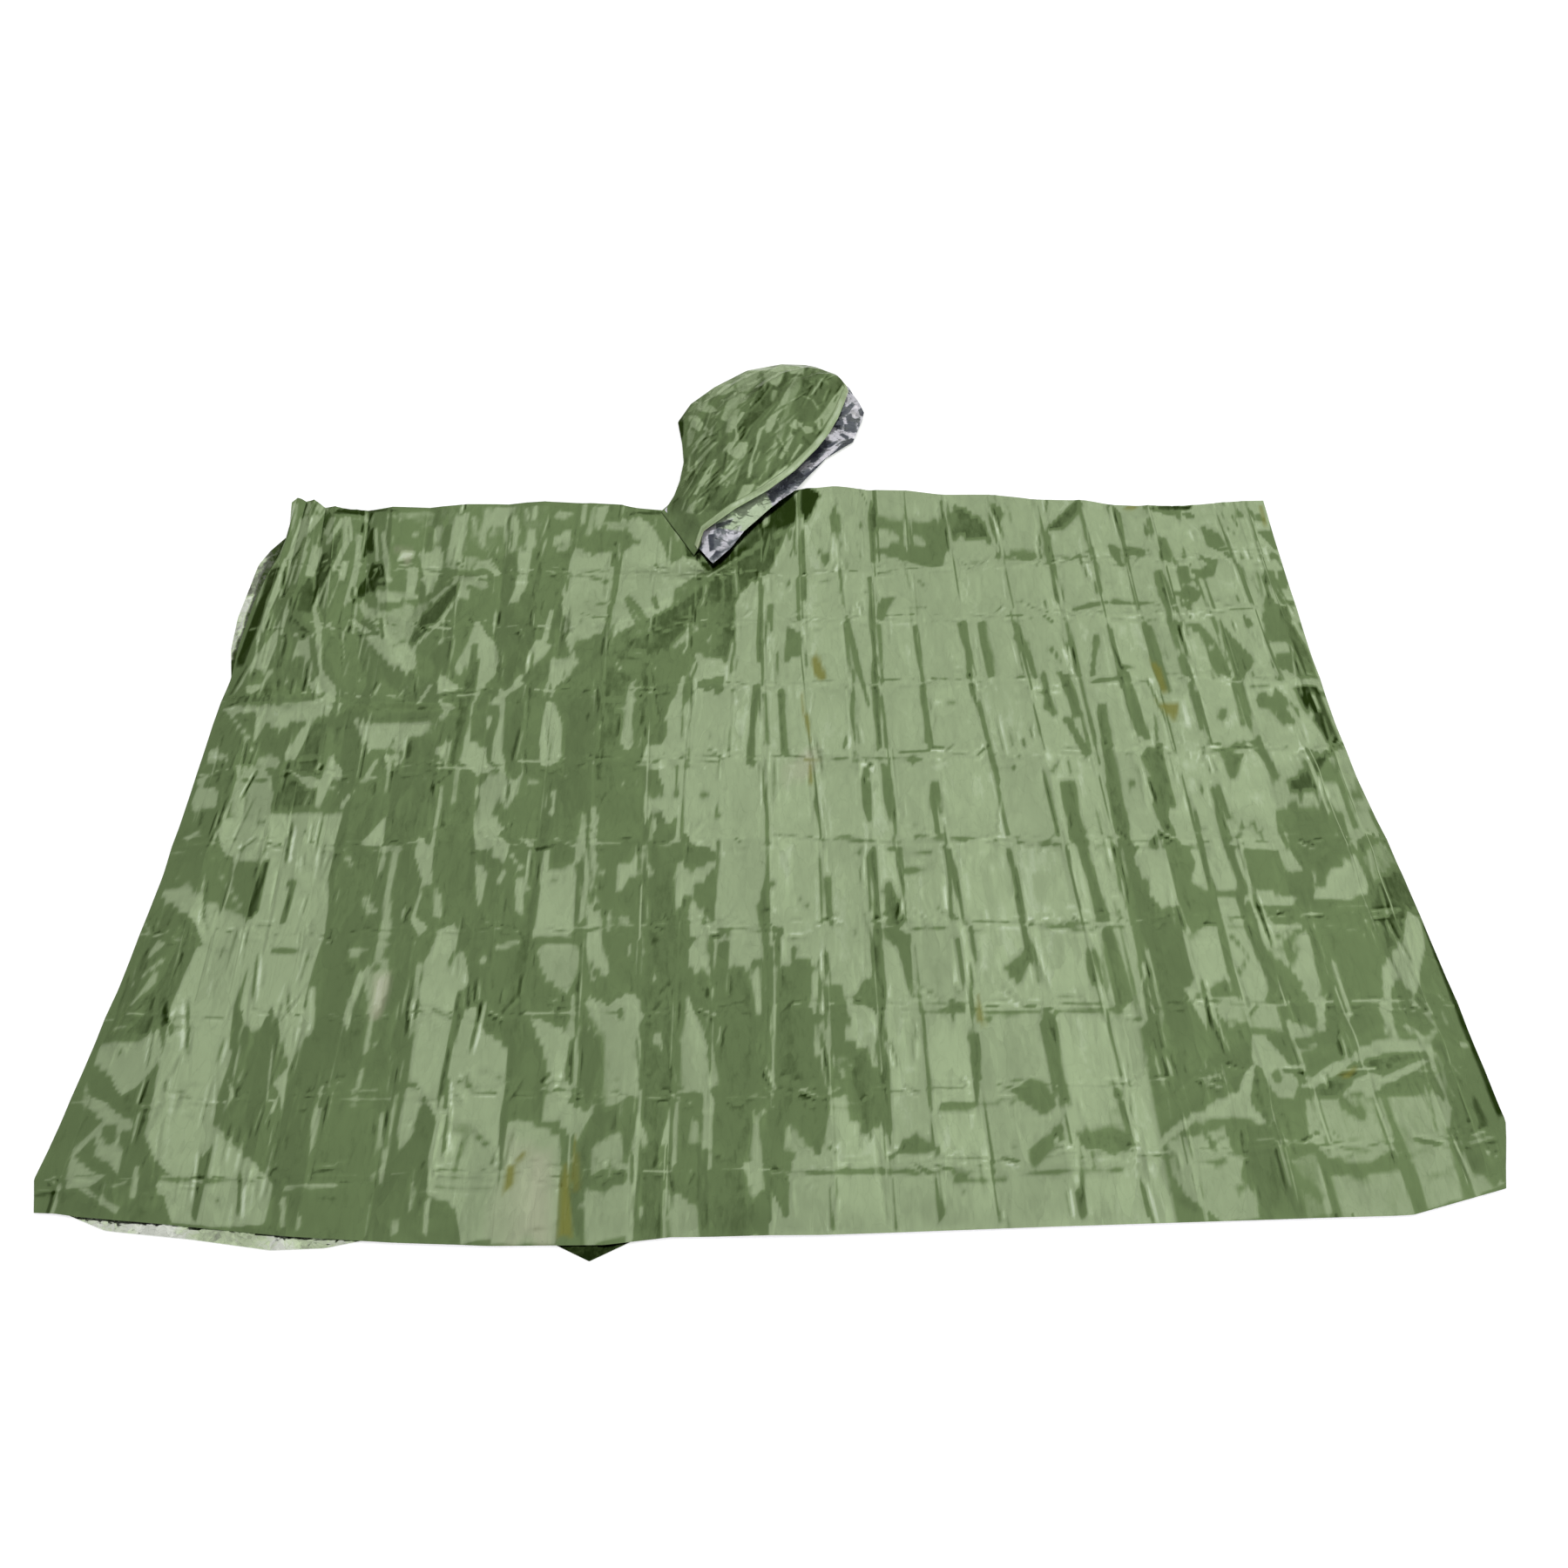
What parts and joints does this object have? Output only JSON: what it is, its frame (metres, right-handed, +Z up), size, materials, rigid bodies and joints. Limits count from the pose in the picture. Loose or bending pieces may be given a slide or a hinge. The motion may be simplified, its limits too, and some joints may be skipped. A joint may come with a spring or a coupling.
{
  "type": "rain poncho laid flat",
  "caption": "Light emergency rain poncho of metallised film, laid flat with its hood turned to one side.",
  "frame": {"origin": "on the surface that the poncho lies on, below the middle of its body", "axes": "+X across the body to the right of the view, +Y from the hem to the shoulders, +Z up"},
  "size_m": [1.3019, 1.3935, 0.0341],
  "materials": {
    "green_film": "metallised plastic film, green side out, glossy and crinkled by pack folds",
    "silver_film": "metallised plastic film, silver side up, glossy and crinkled"
  },
  "bodies": {
    "root": {"front_panel": "green_film", "hood_near_side": "green_film", "back_panel": "silver_film", "hood_far_side": "silver_film"}
  },
  "joints": []
}
